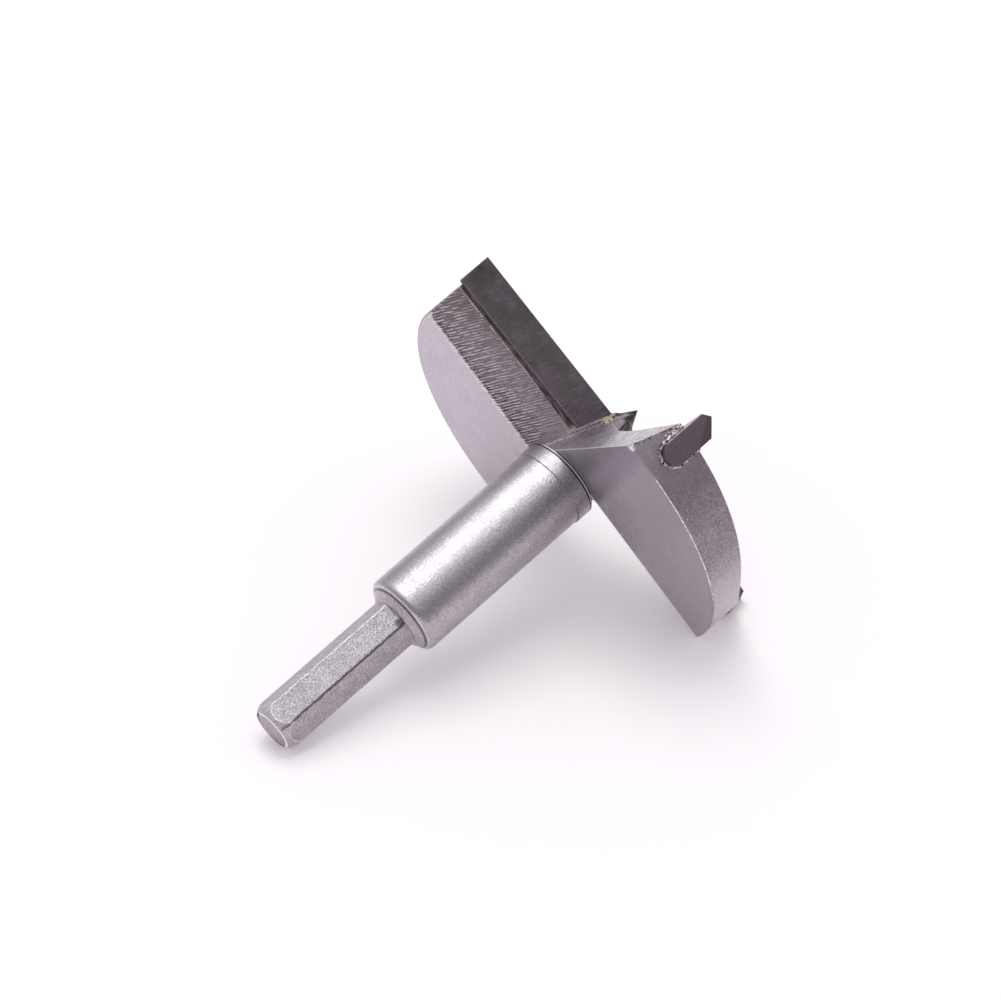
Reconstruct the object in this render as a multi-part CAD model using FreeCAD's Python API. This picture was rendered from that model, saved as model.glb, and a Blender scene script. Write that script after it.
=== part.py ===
import FreeCAD, Part
import math
import os

# Carbide-tipped forstner bit, lying on a flat surface as it comes to rest.
# Lengths are in millimetres and angles in degrees.
# The bit is built upright first: its axis is Z, the back of the head is at z = 0, the point is up,
# and the hexagonal end is down. Wing A runs out along +X and wing B along -X, half a turn apart.

# Cutting circle, and how far the head's rim lies inside it
cutting_dia = 80.0
head_inset = 1.4
rim_chamfer = 0.3

# Round shank and its turned details
shank_dia = 15.7
shank_length = 42.1
shank_corner_radius = 1.4
shank_end_step = 0.25
shank_end_cone = 1.2
collar_dia = 16.1
collar_length = 3.65
groove_dia = 15.3
groove_width = 0.45

# Hexagonal drive end
hex_across_flats = 9.0
hex_length = 30.1
hex_edge_radius = 0.9
hex_end_dia = 8.0
hex_end_rounding = 0.25
hex_dome_margin = 0.2
hex_root_fillet = 0.7
hex_root_sink = 0.1
resting_corner_angle = 210.0

# Chip gullets: the hooked leading face of one wing and the leaning back wall of the other
lead_offset = 6.16
hook_angle = 22.0
wall_offset = 5.75
wall_lean = 16.7
gullet_corner_radius = 0.6

# Carbide cutters
cutter_width = 6.7
cutter_thickness = 2.6
cutter_proud = 0.6
cutter_tilt = 1.75
cutter_inner_x = 2.75
cutter_inner_angle = 16.0
cutter_side_angle = 3.5
cutter_side_relief_angle = 6.0
cutter_top_relief_angle = 14.0

# Heights ahead of the inner end of the cutting edges, which lies where the proud face meets the axis
head_blank_lead = 0.85
relief_lead = 0.1
point_lead = 5.65
spur_lead = 1.35

# Relief on the front of each wing: a slope behind the cutter, a wide valley, a slope up to the spur
relief_angle = 19.8
relief_overrun = 7.0
spur_land_height = 4.25
spur_land_angle = 8.5
wing_droop_angle = 1.7
valley_radius = 30.0

# Turned centre point
point_half_angle = 29.0
point_length = 3.1
point_step = 0.6
point_root_half_angle = 30.7
point_root_depth = 6.5
point_flat = 0.06

# Carbide spurs
spur_width = 4.5
spur_thickness = 2.6
spur_foot_height = 3.4
spur_apex_shift = 0.75
spur_chamfer_angle = 39.0
spur_bevel_angle = 25.0
spur_shift = -0.43

# Braze joints
braze_film = 0.12
braze_end_gap = 0.6
spur_braze_gap = 0.18
bead_radius = 0.42
seat_margin = 0.5

# Sizes that follow from the ones above
cutting_radius = cutting_dia / 2
head_radius = cutting_radius - head_inset
shank_radius = shank_dia / 2
collar_radius = collar_dia / 2
hex_end_z = -(shank_length + hex_length)
hook_slope = math.tan(math.radians(hook_angle))
wall_slope = math.tan(math.radians(wall_lean))
edge_height = (lead_offset - cutter_proud / math.cos(math.radians(hook_angle))) / hook_slope
head_blank_height = edge_height + head_blank_lead
relief_height = edge_height + relief_lead
point_height = edge_height + point_lead
spur_apex_height = edge_height + spur_lead
hex_root_radius = hex_across_flats / 2 + hex_root_fillet
hex_corner_centre = (hex_across_flats / 2 - hex_edge_radius) / math.cos(math.radians(30))
hex_dome_radius = hex_corner_centre + hex_edge_radius + hex_dome_margin
hex_dome_z = hex_end_z + math.sqrt(hex_dome_radius ** 2 - (hex_end_dia / 2) ** 2)
reach = 2 * cutting_radius
contact_steps = 20

os.makedirs("parts", exist_ok=True)


def vec(x, y, z=0.0):
    return FreeCAD.Vector(x, y, z)


def tan(angle):
    return math.tan(math.radians(angle))


def sin(angle):
    return math.sin(math.radians(angle))


def cos(angle):
    return math.cos(math.radians(angle))


def half_turn(shape):
    """The same shape on the other wing."""
    turned = shape.copy()
    turned.rotate(vec(0, 0, 0), vec(0, 0, 1), 180)
    return turned


def polygon_face(points):
    return Part.Face(Part.makePolygon(points + [points[0]]))


def block_beyond(point, normal):
    """A large block that fills the side of a plane to which its normal points."""
    block = Part.makeBox(2 * reach, 2 * reach, reach, vec(-reach, -reach, 0))
    block.Placement = FreeCAD.Placement(point, FreeCAD.Rotation(vec(0, 0, 1), normal))
    return block


def rounded_wire(points, corner, radius):
    """Closed outline of straight sides with one corner rounded."""
    count = len(points)
    here = points[corner]
    before = (points[corner - 1] - here).normalize()
    after = (points[(corner + 1) % count] - here).normalize()
    half = before.getAngle(after) / 2
    setback = radius / math.tan(half)
    middle = (before + after).normalize()
    start = here + before * setback
    end = here + after * setback
    top = here + middle * (radius / math.sin(half) - radius)
    edges = [Part.Arc(start, top, end).toShape()]
    chain = [end] + [points[(corner + step) % count] for step in range(1, count)] + [start]
    for a, b in zip(chain, chain[1:]):
        edges.append(Part.LineSegment(a, b).toShape())
    return Part.Wire(Part.__sortEdges__(edges))


def round_shank():
    """Turned shank: a rounded lower corner with a fine step, and a collar and groove under the head."""
    corner_z = -(shank_length - shank_end_cone - shank_corner_radius)
    arc_centre = vec(shank_radius - shank_corner_radius, 0, corner_z)
    arc_mid = arc_centre + vec(shank_corner_radius * cos(30), 0, -shank_corner_radius * sin(30))
    arc_end = arc_centre + vec(shank_corner_radius * cos(60), 0, -shank_corner_radius * sin(60))
    step_in = arc_end - vec(shank_end_step, 0, 0)
    corners = [
        vec(0, 0, -shank_length),
        vec(hex_root_radius, 0, -shank_length),
        step_in,
        arc_end,
    ]
    upper = [
        vec(shank_radius, 0, corner_z),
        vec(shank_radius, 0, -collar_length),
        vec(collar_radius, 0, -collar_length),
        vec(collar_radius, 0, -groove_width),
        vec(groove_dia / 2, 0, -groove_width),
        vec(groove_dia / 2, 0, 0),
        vec(0, 0, 0),
    ]
    edges = [Part.LineSegment(a, b).toShape() for a, b in zip(corners, corners[1:])]
    edges.append(Part.Arc(arc_end, arc_mid, upper[0]).toShape())
    edges += [Part.LineSegment(a, b).toShape() for a, b in zip(upper, upper[1:] + corners[:1])]
    return Part.Face(Part.Wire(edges)).revolve(vec(0, 0, 0), vec(0, 0, 1), 360)


def hex_drive():
    """Hexagonal bar with rounded edges and a domed end; its flats face +X and every sixth turn."""
    corner_radius = hex_across_flats / 2 / cos(30)
    corners = [vec(corner_radius * cos(a), corner_radius * sin(a), hex_end_z) for a in range(30, 390, 60)]
    bar = polygon_face(corners).extrude(vec(0, 0, hex_length + shank_end_cone))
    long_edges = [e for e in bar.Edges if abs(e.Vertexes[0].Z - e.Vertexes[1].Z) > hex_length / 2]
    bar = bar.makeFillet(hex_edge_radius, long_edges)
    bar = bar.common(hex_end_form())
    end_edges = [e for e in bar.Edges if e.BoundBox.ZMax < hex_end_z + hex_end_rounding / 2]
    return bar.makeFillet(hex_end_rounding, end_edges)


def hex_end_form():
    """Turned outline that holds the hexagon: a dome that is cut flat at the end, and a cylinder above it."""
    start = vec(hex_end_dia / 2, 0, hex_end_z)
    half_way = math.atan2(hex_end_z - hex_dome_z, hex_end_dia / 2) / 2
    middle = vec(hex_dome_radius * math.cos(half_way), 0, hex_dome_z + hex_dome_radius * math.sin(half_way))
    side = vec(hex_dome_radius, 0, hex_dome_z)
    corners = [side, vec(hex_dome_radius, 0, 0), vec(0, 0, 0), vec(0, 0, hex_end_z), start]
    edges = [Part.Arc(start, middle, side).toShape()]
    edges += [Part.LineSegment(a, b).toShape() for a, b in zip(corners, corners[1:])]
    return Part.Face(Part.Wire(edges)).revolve(vec(0, 0, 0), vec(0, 0, 1), 360)


def hex_root():
    """Concave ring that runs the hexagon into the end of the round shank."""
    inner = hex_across_flats / 2 - hex_root_sink
    top = -shank_length
    radius = hex_root_radius - inner
    low = vec(inner, 0, top - radius)
    high = vec(hex_root_radius, 0, top)
    bend = vec(inner + radius * (1 - cos(45)), 0, top - radius * (1 - sin(45)))
    above = top + shank_end_cone / 2
    ring = [
        Part.Arc(low, bend, high).toShape(),
        Part.LineSegment(high, vec(inner, 0, above)).toShape(),
        Part.LineSegment(vec(inner, 0, above), vec(0, 0, above)).toShape(),
        Part.LineSegment(vec(0, 0, above), vec(0, 0, low.z)).toShape(),
        Part.LineSegment(vec(0, 0, low.z), low).toShape(),
    ]
    return Part.Face(Part.Wire(ring)).revolve(vec(0, 0, 0), vec(0, 0, 1), 360)


def head_blank():
    """Turned disc from which the wings are cut."""
    disc = Part.makeCylinder(head_radius, head_blank_height)
    back_edge = [e for e in disc.Edges if e.BoundBox.ZMax < head_blank_height / 2 and e.Length > head_radius]
    return disc.makeChamfer(rim_chamfer, back_edge)


def centre_point():
    """Turned cone with a small step, which grows out of the web between the wings."""
    step_top = point_height - point_length
    step_radius = point_flat + point_length * tan(point_half_angle)
    root_top = step_top - point_step
    root_radius = step_radius + point_step
    root_low = root_top - point_root_depth
    profile = [
        vec(0, 0, point_height),
        vec(point_flat, 0, point_height),
        vec(step_radius, 0, step_top),
        vec(root_radius, 0, root_top),
        vec(root_radius + point_root_depth * tan(point_root_half_angle), 0, root_low),
        vec(0, 0, root_low),
    ]
    return polygon_face(profile).revolve(vec(0, 0, 0), vec(0, 0, 1), 360)


def relief_cut():
    """What is milled off the front of wing B: a slope behind the cutter, a valley and the spur's slope."""
    slope = tan(relief_angle)
    rise = tan(spur_land_angle)
    droop = tan(wing_droop_angle)
    valley_y = (relief_height - spur_land_height) / (slope + rise)
    valley_z = relief_height - slope * valley_y
    start_x = wall_offset + relief_overrun
    section = [
        vec(0, 0, relief_height),
        vec(0, valley_y, valley_z),
        vec(0, reach, spur_land_height + rise * reach),
        vec(0, reach, reach),
        vec(0, 0, reach),
    ]
    face = Part.Face(rounded_wire(section, 1, valley_radius))
    face.translate(vec(start_x, 0, droop * start_x))
    return face.extrude(vec(-reach, 0, -droop * reach))


def gullet():
    """Chip gullet between the leading face of wing A and the back wall of wing B, open to the front."""
    outline = [
        vec(wall_offset, reach),
        vec(wall_offset, -lead_offset),
        vec(reach, -lead_offset),
        vec(reach, reach),
    ]
    face = Part.Face(rounded_wire(outline, 1, gullet_corner_radius))
    height = 2 * head_blank_height
    return face.extrude(vec(-wall_slope * height, hook_slope * height, height))


def on_rake(along, up, depth=0.0):
    """A point on the rake face of cutter A: along the wing, up the face, and behind it."""
    back = vec(0, -cos(hook_angle), sin(hook_angle))
    return vec(along, 0, edge_height) + vec(0, sin(hook_angle), cos(hook_angle)) * up + back * depth


def cutter_outline(end_gap=0.0):
    """The four corners of cutter A on its face, from the outer end of the edge round to the inner end."""
    outer = cutting_radius
    inner = cutter_inner_x
    rise = tan(cutter_tilt)
    foot_up = -cutter_width * cos(cutter_tilt)
    foot_along = -cutter_width * sin(cutter_tilt)
    outer_foot = outer + foot_along - cutter_width * tan(cutter_side_angle)
    inner_foot = inner + foot_along + cutter_width * tan(cutter_inner_angle)
    return [
        (outer, 0.0),
        (outer_foot, foot_up + rise * (outer - outer_foot)),
        (inner_foot - end_gap, foot_up + rise * (outer - inner_foot)),
        (inner - end_gap, rise * (outer - inner)),
    ]


def cutter():
    """Flat carbide plate with a relieved front edge and outer end."""
    face = polygon_face([on_rake(along, up) for along, up in cutter_outline()])
    plate = face.extrude(on_rake(0, 0, cutter_thickness) - on_rake(0, 0))
    top_edge, foot = cutter_outline()[0], cutter_outline()[1]
    edge_direction = (on_rake(*cutter_outline()[3]) - on_rake(*top_edge)).normalize()
    end_direction = (on_rake(*foot) - on_rake(*top_edge)).normalize()
    backward = (on_rake(0, 0, 1) - on_rake(0, 0)).normalize()
    forward_slope = backward - end_direction.negative() * tan(cutter_top_relief_angle)
    inward_slope = backward + edge_direction * tan(cutter_side_relief_angle)
    plate = plate.cut(block_beyond(on_rake(*top_edge), edge_direction.cross(forward_slope)))
    return plate.cut(block_beyond(on_rake(*top_edge), inward_slope.cross(end_direction)))


def cutter_seat():
    """Room milled for cutter A and its braze: a level ledge below it and an end wall beside the point."""
    outline = cutter_outline(braze_end_gap)
    ledge = outline[1][1] - braze_film
    inner_top = outline[3]
    inner_foot = outline[2]
    lean = (inner_foot[0] - inner_top[0]) / (inner_top[1] - inner_foot[1])
    points = [
        on_rake(reach, ledge),
        on_rake(inner_foot[0] + lean * (inner_foot[1] - ledge), ledge),
        on_rake(inner_top[0], inner_top[1]),
        on_rake(inner_top[0], inner_top[1] + seat_margin),
        on_rake(reach, inner_top[1] + seat_margin),
    ]
    depth = cutter_thickness + braze_film
    room = polygon_face(points)
    room.translate(on_rake(0, 0, depth) - on_rake(0, 0))
    return room.extrude(on_rake(0, 0, -seat_margin) - on_rake(0, 0, depth))


def spur_outline(gap=0.0, top=None):
    """Outline of spur B seen from outside, with its round foot; a top height gives the open slot."""
    half = spur_width / 2 + gap
    centre = spur_foot_height + spur_width / 2
    left = spur_shift + half
    right = spur_shift - half
    apex = spur_shift + spur_apex_shift
    foot = vec(spur_shift, 0, centre - half)
    if top:
        crown = [vec(right, 0, top), vec(left, 0, top)]
    else:
        slope = tan(spur_chamfer_angle)
        right_shoulder = spur_apex_height - slope * (apex - right)
        left_shoulder = spur_apex_height - slope * (left - apex)
        crown = [vec(right, 0, right_shoulder), vec(apex, 0, spur_apex_height), vec(left, 0, left_shoulder)]
    corners = [vec(right, 0, centre)] + crown + [vec(left, 0, centre)]
    edges = [Part.LineSegment(a, b).toShape() for a, b in zip(corners, corners[1:])]
    edges.append(Part.Arc(corners[-1], foot, corners[0]).toShape())
    return Part.Face(Part.Wire(edges))


def spur():
    """Carbide spur B: its outer face lies on the cutting circle and its inner face is ground to an edge."""
    inner_y = cutting_radius - spur_thickness
    blank = spur_outline()
    blank.translate(vec(0, inner_y, 0))
    blank = blank.extrude(vec(0, spur_thickness * 2, 0))
    blank = blank.common(Part.makeCylinder(cutting_radius, reach))
    grind = vec(0, -cos(spur_bevel_angle), sin(spur_bevel_angle))
    return blank.cut(block_beyond(vec(0, cutting_radius, spur_apex_height), grind))


def spur_slot():
    """Slot in the rim of wing B for its spur, open to the front."""
    floor_y = cutting_radius - spur_thickness - braze_film
    slot = spur_outline(spur_braze_gap, reach)
    slot.translate(vec(0, floor_y, 0))
    return slot.extrude(vec(0, reach, 0))


def spur_bead():
    """Rounded bead that the braze leaves on the rim round the foot of spur B."""
    half = spur_width / 2 + spur_braze_gap
    centre = spur_foot_height + spur_width / 2
    height = spur_land_height + tan(spur_land_angle) * head_radius - centre
    ring = Part.makeTorus(half, bead_radius, vec(spur_shift, head_radius, centre), vec(0, 1, 0))
    ring = ring.cut(block_beyond(vec(0, 0, centre), vec(0, 0, 1)))
    sides = [Part.makeCylinder(bead_radius, height, vec(spur_shift + side * half, head_radius, centre))
             for side in (-1, 1)]
    return ring.fuse(sides)


def both(shape):
    """A feature and its copy half a turn round."""
    return [shape, half_turn(shape)]


def body_blank():
    """The body before its cutters' seats and spurs' slots are milled."""
    head = head_blank().cut(both(relief_cut()))
    turned = head.fuse([centre_point(), round_shank(), hex_root(), hex_drive()])
    return turned.cut(both(gullet())).removeSplitter()


def hex_contact(down):
    """Lowest point of the hexagonal end: the corner that faces the ground, where the end's dome begins."""
    angle = resting_corner_angle
    level = vec(down.x, down.y, 0).normalize()
    corner = vec(hex_corner_centre * cos(angle), hex_corner_centre * sin(angle)) + level * hex_edge_radius
    return corner + vec(0, 0, hex_dome_z - math.sqrt(hex_dome_radius ** 2 - corner.Length ** 2))


def ground_direction():
    """Direction of the ground in the upright bit's frame.

    It passes through the tip of cutter B, the corner of wing A's rim and back wall, and the hexagon's end.
    """
    cutter_tip = vec(-cutting_radius, 0, edge_height)
    wall_x = wall_offset - wall_slope * rim_chamfer
    wall_corner = vec(-wall_x, -math.sqrt(head_radius ** 2 - wall_x ** 2), rim_chamfer)
    down = vec(-1, -1, -1).normalize()
    for _ in range(contact_steps):
        tail = hex_contact(down)
        normal = (cutter_tip - wall_corner).cross(tail - wall_corner).normalize()
        down = normal if normal.dot(wall_corner) > 0 else normal.negative()
    return down


def lay_down(shapes):
    """Turns the upright bit so that it lies at rest with its axis along +X, and centres it on the ground."""
    up = ground_direction().negative()
    side = up.cross(vec(0, 0, 1)).normalize()
    forward = side.cross(up)
    turn = FreeCAD.Matrix(forward.x, forward.y, forward.z, 0, side.x, side.y, side.z, 0, up.x, up.y, up.z, 0)
    laid = {name: shape.transformed(turn) for name, shape in shapes.items()}
    box = Part.makeCompound(list(laid.values())).optimalBoundingBox()
    shift = vec(-(box.XMin + box.XMax) / 2, -(box.YMin + box.YMax) / 2, -box.ZMin)
    for shape in laid.values():
        shape.translate(shift)
    print("ground direction", ground_direction(), "shift", shift)
    print("size", box.XLength, box.YLength, box.ZLength)
    return laid


def build():
    """All pieces of the upright bit by name."""
    blank = body_blank()
    seat = cutter_seat()
    slot = spur_slot()
    body = blank.cut(both(seat) + both(slot))
    plate = cutter()
    tooth = spur()
    pieces = {"bit_body": body, "cutter_a": plate, "cutter_b": half_turn(plate)}
    pieces["spur_a"] = half_turn(tooth)
    pieces["spur_b"] = tooth
    cutter_braze = blank.common(seat).cut(plate)
    spur_braze = blank.common(slot).fuse(spur_bead().cut(blank)).cut(tooth).removeSplitter()
    pieces["cutter_braze_a"] = cutter_braze
    pieces["cutter_braze_b"] = half_turn(cutter_braze)
    pieces["spur_braze_a"] = half_turn(spur_braze)
    pieces["spur_braze_b"] = spur_braze
    return pieces


for name, shape in lay_down(build()).items():
    shape.exportStep(f"parts/{name}.step")
    print(name, "valid", shape.isValid(), "solids", len(shape.Solids), "mm3", round(shape.Volume, 1))
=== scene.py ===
import math

import bmesh
import bpy
from mathutils import Euler, Matrix, Vector, noise


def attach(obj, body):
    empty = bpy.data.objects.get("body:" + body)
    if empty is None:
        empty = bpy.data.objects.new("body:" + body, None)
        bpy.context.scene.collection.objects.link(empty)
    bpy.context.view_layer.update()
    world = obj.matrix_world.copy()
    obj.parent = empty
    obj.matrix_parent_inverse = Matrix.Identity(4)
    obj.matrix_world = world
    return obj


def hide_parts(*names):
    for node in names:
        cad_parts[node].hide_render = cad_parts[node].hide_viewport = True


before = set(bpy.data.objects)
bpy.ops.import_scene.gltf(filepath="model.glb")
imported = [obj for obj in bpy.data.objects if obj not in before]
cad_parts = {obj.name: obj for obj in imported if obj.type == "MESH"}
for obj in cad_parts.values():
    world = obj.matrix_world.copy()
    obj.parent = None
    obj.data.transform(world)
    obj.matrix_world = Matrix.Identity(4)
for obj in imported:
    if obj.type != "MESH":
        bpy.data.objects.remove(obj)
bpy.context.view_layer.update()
print("frame loaded:", len(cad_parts), "nodes")

# Where the bit lies, as part.py lays it down: z is the tool's own axis, measured from the back of the head
bitPlace = {
    "headBack": (0.0236287, 0.0, 0.0262119),  # where the axis meets the back of the head, in metres
    "axisRise": 17.7403,  # degrees between the axis and the floor
    "wingRoll": 142.8019,  # degrees from the floor's side to wing A, about the axis
    "unit": 0.001,  # the tool's own coordinates are in millimetres
}
toolTurn = Euler(
    (0, math.radians(90 - bitPlace["axisRise"]), math.radians(bitPlace["wingRoll"])), "ZYX"
).to_matrix()
toolToFrame = Matrix.LocRotScale(
    Vector(bitPlace["headBack"]), toolTurn, Vector([bitPlace["unit"]] * 3)
)
frameToTool = toolToFrame.inverted()

# The cut surfaces of the head, in the tool's own coordinates
headForm = {
    "cuttingRadius": 40.0,
    "rimRadius": 38.6,
    "hookAngle": 22.0,  # how far the leading faces lean
    "faceOffset": -5.72,  # leading face from the axis, square to the face
    "wallLean": 16.7,
    "wallOffset": 5.75,  # back wall beside the axis, at the back of the head
    "seamHeight": 7.3,  # lower edge of the cutter at its outer end
    "seamSlope": 0.0283,
    "hexTop": -42.15,
    "hexDome": (0.0, 0.0, -68.79),  # centre of the dome that rounds the hexagon's end
    "pointFoot": 9.0,
    "pointRadius": 6.4,
}
hookCos = math.cos(math.radians(headForm["hookAngle"]))
hookSin = math.sin(math.radians(headForm["hookAngle"]))
wallCos = math.cos(math.radians(headForm["wallLean"]))
wallSin = math.sin(math.radians(headForm["wallLean"]))
white = (1.0, 1.0, 1.0, 1.0)


def shade(red, green, blue):
    # a colour on the 0 to 255 scale, as the linear value that a shader takes
    def linear(v):
        v = v / 255
        return v / 12.92 if v <= 0.04045 else ((v + 0.055) / 1.055) ** 2.4
    return (linear(red), linear(green), linear(blue), 1.0)


def leaned(across, up, degrees):
    # two coordinates turned by an angle
    c, s = math.cos(math.radians(degrees)), math.sin(math.radians(degrees))
    return across * c + up * s, up * c - across * s


# Marks that run over more than one surface of the head
headMarks = {
    "tornCorner": (5.1, 37.9, 0.2),  # the corner between back, rim and back wall
    "tornReach": 1.3,
    "torn": shade(240, 236, 240),
    "goldPatch": (2.4, -0.6, 13.7),  # beside the centre point
    "goldReach": 2.0,
    "gold": shade(228, 220, 190),
    "flux": shade(248, 246, 240),
    "burnt": shade(92, 80, 62),
}


class Signal:
    # one output socket, so that shader maths is written as plain Python
    def __init__(self, finish, socket):
        self.finish = finish
        self.socket = socket

    def math(self, operation, *others):
        values = dict(enumerate((self,) + others))
        return self.finish.add("ShaderNodeMath", {"operation": operation}, values)

    def flipped(self, operation, other):
        return self.finish.add("ShaderNodeMath", {"operation": operation}, {0: other, 1: self})

    def out(self, name):
        return Signal(self.finish, self.socket.node.outputs[name])

    def __add__(self, other):
        return self.math("ADD", other)

    def __sub__(self, other):
        return self.math("SUBTRACT", other)

    def __rsub__(self, other):
        return self.flipped("SUBTRACT", other)

    def __mul__(self, other):
        return self.math("MULTIPLY", other)

    def __truediv__(self, other):
        return self.math("DIVIDE", other)

    def __rtruediv__(self, other):
        return self.flipped("DIVIDE", other)

    def __neg__(self):
        return self.math("MULTIPLY", -1)

    def __abs__(self):
        return self.math("ABSOLUTE")

    def __gt__(self, other):
        return self.math("GREATER_THAN", other)

    def __lt__(self, other):
        return self.math("LESS_THAN", other)

    __radd__ = __add__
    __rmul__ = __mul__

    def smooth(self, low, high):
        # 0 below low, 1 above high, and a soft step between them
        settings = {"interpolation_type": "SMOOTHSTEP"}
        return self.finish.add("ShaderNodeMapRange", settings, {"Value": self, 1: low, 2: high})

    def band(self, low, high, soft):
        # 1 between low and high, with soft edges
        return self.smooth(low - soft, low + soft) * (1 - self.smooth(high - soft, high + soft))


class Finish:
    # one procedural material, with the tool's own coordinates in millimetres at hand
    def __init__(self, name, owner=None):
        self.material = owner or bpy.data.materials.new(name)
        self.material.use_nodes = True
        self.tree = self.material.node_tree
        self.tree.nodes.clear()
        self.shared = {}

    def add(self, kind, settings=None, values=None):
        # one node: its type, its settings, then the values or links of its sockets
        node = self.tree.nodes.new(kind)
        for key, value in (settings or {}).items():
            setattr(node, key, value)
        for key, value in (values or {}).items():
            socket = node.inputs[key] if isinstance(key, int) else next(
                s for s in node.inputs if s.name == key and s.enabled)
            if isinstance(value, Signal):
                self.tree.links.new(value.socket, socket)
            else:
                socket.default_value = value
        return Signal(self, next((s for s in node.outputs if s.enabled), None))

    def once(self, name, make):
        if name not in self.shared:
            self.shared[name] = make()
        return self.shared[name]

    def toolPoint(self):
        def make():
            place = self.add("ShaderNodeTexCoord").out("Object")
            turn = toolTurn.to_euler("XYZ")
            return self.add("ShaderNodeMapping", {"vector_type": "TEXTURE"}, {
                "Vector": place, "Location": bitPlace["headBack"], "Rotation": tuple(turn),
                "Scale": (bitPlace["unit"],) * 3})
        return self.once("point", make)

    def xyz(self):
        def make():
            parts = self.add("ShaderNodeSeparateXYZ", {}, {"Vector": self.toolPoint()})
            return parts.out("X"), parts.out("Y"), parts.out("Z")
        return self.once("xyz", make)

    def radius(self):
        x, y = self.xyz()[:2]
        return self.once("radius", lambda: (x * x + y * y).math("SQRT"))

    def turned(self):
        # angle about the tool's axis, in radians
        x, y = self.xyz()[:2]
        return self.once("angle", lambda: y.math("ARCTAN2", x))

    def vector(self, x, y, z=0.0):
        return self.add("ShaderNodeCombineXYZ", {}, {"X": x, "Y": y, "Z": z})

    def grain(self, where, scale, detail=2.0, rough=0.5, distort=0.0):
        return self.add("ShaderNodeTexNoise", {"noise_dimensions": "3D"}, {
            "Vector": where, "Scale": scale, "Detail": detail, "Roughness": rough,
            "Distortion": distort}).out("Fac")

    def cloudy(self, scale, detail=2.0, rough=0.5, distort=0.0):
        return self.grain(self.toolPoint(), scale, detail, rough, distort)

    def grit(self, scale, spread=0.16):
        # fine sandy grain over the whole of 0 to 1
        return self.once(("grit", scale, spread), lambda: self.cloudy(
            scale, 2.0, 0.65).smooth(0.5 - spread, 0.5 + spread))

    def streaks(self, across, along, detail=3.0, rough=0.6):
        return self.grain(self.vector(across, along), 1.0, detail, rough)

    def paired(self):
        # the tool's coordinates turned onto wing A, so that both wings share one pattern
        def make():
            x, y, z = self.xyz()
            side = x.math("SIGN")
            return self.vector(x * side, y * side, z)
        return self.once("paired", make)

    def near(self, place, reach, soft=0.35):
        # 1 close to a point, and 0 beyond the reach, on both wings
        gap = self.add("ShaderNodeVectorMath", {"operation": "DISTANCE"}, {0: self.paired(), 1: place})
        return 1 - gap.out("Value").smooth(reach * soft, reach)

    def blend(self, share, first, second):
        return self.add("ShaderNodeMix", {"data_type": "RGBA"}, {"Factor": share, "A": first, "B": second})

    def edgeNormal(self, width):
        return self.add("ShaderNodeBevel", {"samples": 4}, {"Radius": width * bitPlace["unit"]})

    def edgeShare(self, width):
        # 0 on a flat and towards 1 on a sharp edge, from how far the rounded normal turns
        flat = self.add("ShaderNodeNewGeometry").out("Normal")
        along = self.add("ShaderNodeVectorMath", {"operation": "DOT_PRODUCT"},
                         {0: self.edgeNormal(width), 1: flat}).out("Value")
        return (1 - along).smooth(0.02, 0.25)

    def bump(self, height, normal=None):
        # height in millimetres
        values = {"Height": height, "Strength": 1.0, "Distance": bitPlace["unit"]}
        if normal is not None:
            values["Normal"] = normal
        return self.add("ShaderNodeBump", {}, values)

    def behindFace(self):
        # depth behind the leading face of the wing, in millimetres
        def make():
            parts = self.add("ShaderNodeSeparateXYZ", {}, {"Vector": self.paired()})
            return headForm["faceOffset"] - parts.out("Y") * hookCos + parts.out("Z") * hookSin
        return self.once("behindFace", make)

    def aboveSeam(self):
        # how far above the lower edge of the cutter, in millimetres along the tool's axis
        def make():
            x, _, z = self.xyz()
            return z - headForm["seamHeight"] - (headForm["cuttingRadius"] - abs(x)) * headForm["seamSlope"]
        return self.once("aboveSeam", make)

    def tornOver(self, tone):
        # the corner where the milling tore up a white burr
        spread = self.near(headMarks["tornCorner"], headMarks["tornReach"], 0.1)
        ragged = spread + (self.cloudy(2.0, 3.0, 0.7) - 0.5) * 2.6
        return self.blend(ragged.smooth(0.5, 0.6), tone, headMarks["torn"])

    def goldOver(self, tone):
        # ragged gold and white flux beside the centre point, over another tone
        spread = self.near(headMarks["goldPatch"], headMarks["goldReach"], 0.1)
        ragged = spread + (self.cloudy(1.4, 3.0, 0.65) - 0.5) * 2.4
        inside = self.cloudy(2.2)
        gold = self.blend(inside.smooth(0.42, 0.56), headMarks["flux"], headMarks["gold"])
        gold = self.blend((1 - inside).smooth(0.55, 0.61), gold, headMarks["burnt"])
        return self.blend(ragged.smooth(0.44, 0.56), tone, gold)

    def surface(self, tone, roughness, normal, metallic=1.0):
        values = {"Base Color": tone, "Metallic": metallic, "Roughness": roughness, "Normal": normal}
        shader = self.add("ShaderNodeBsdfPrincipled", {}, values)
        self.add("ShaderNodeOutputMaterial", {}, {"Surface": shader})
        return self.material


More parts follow.
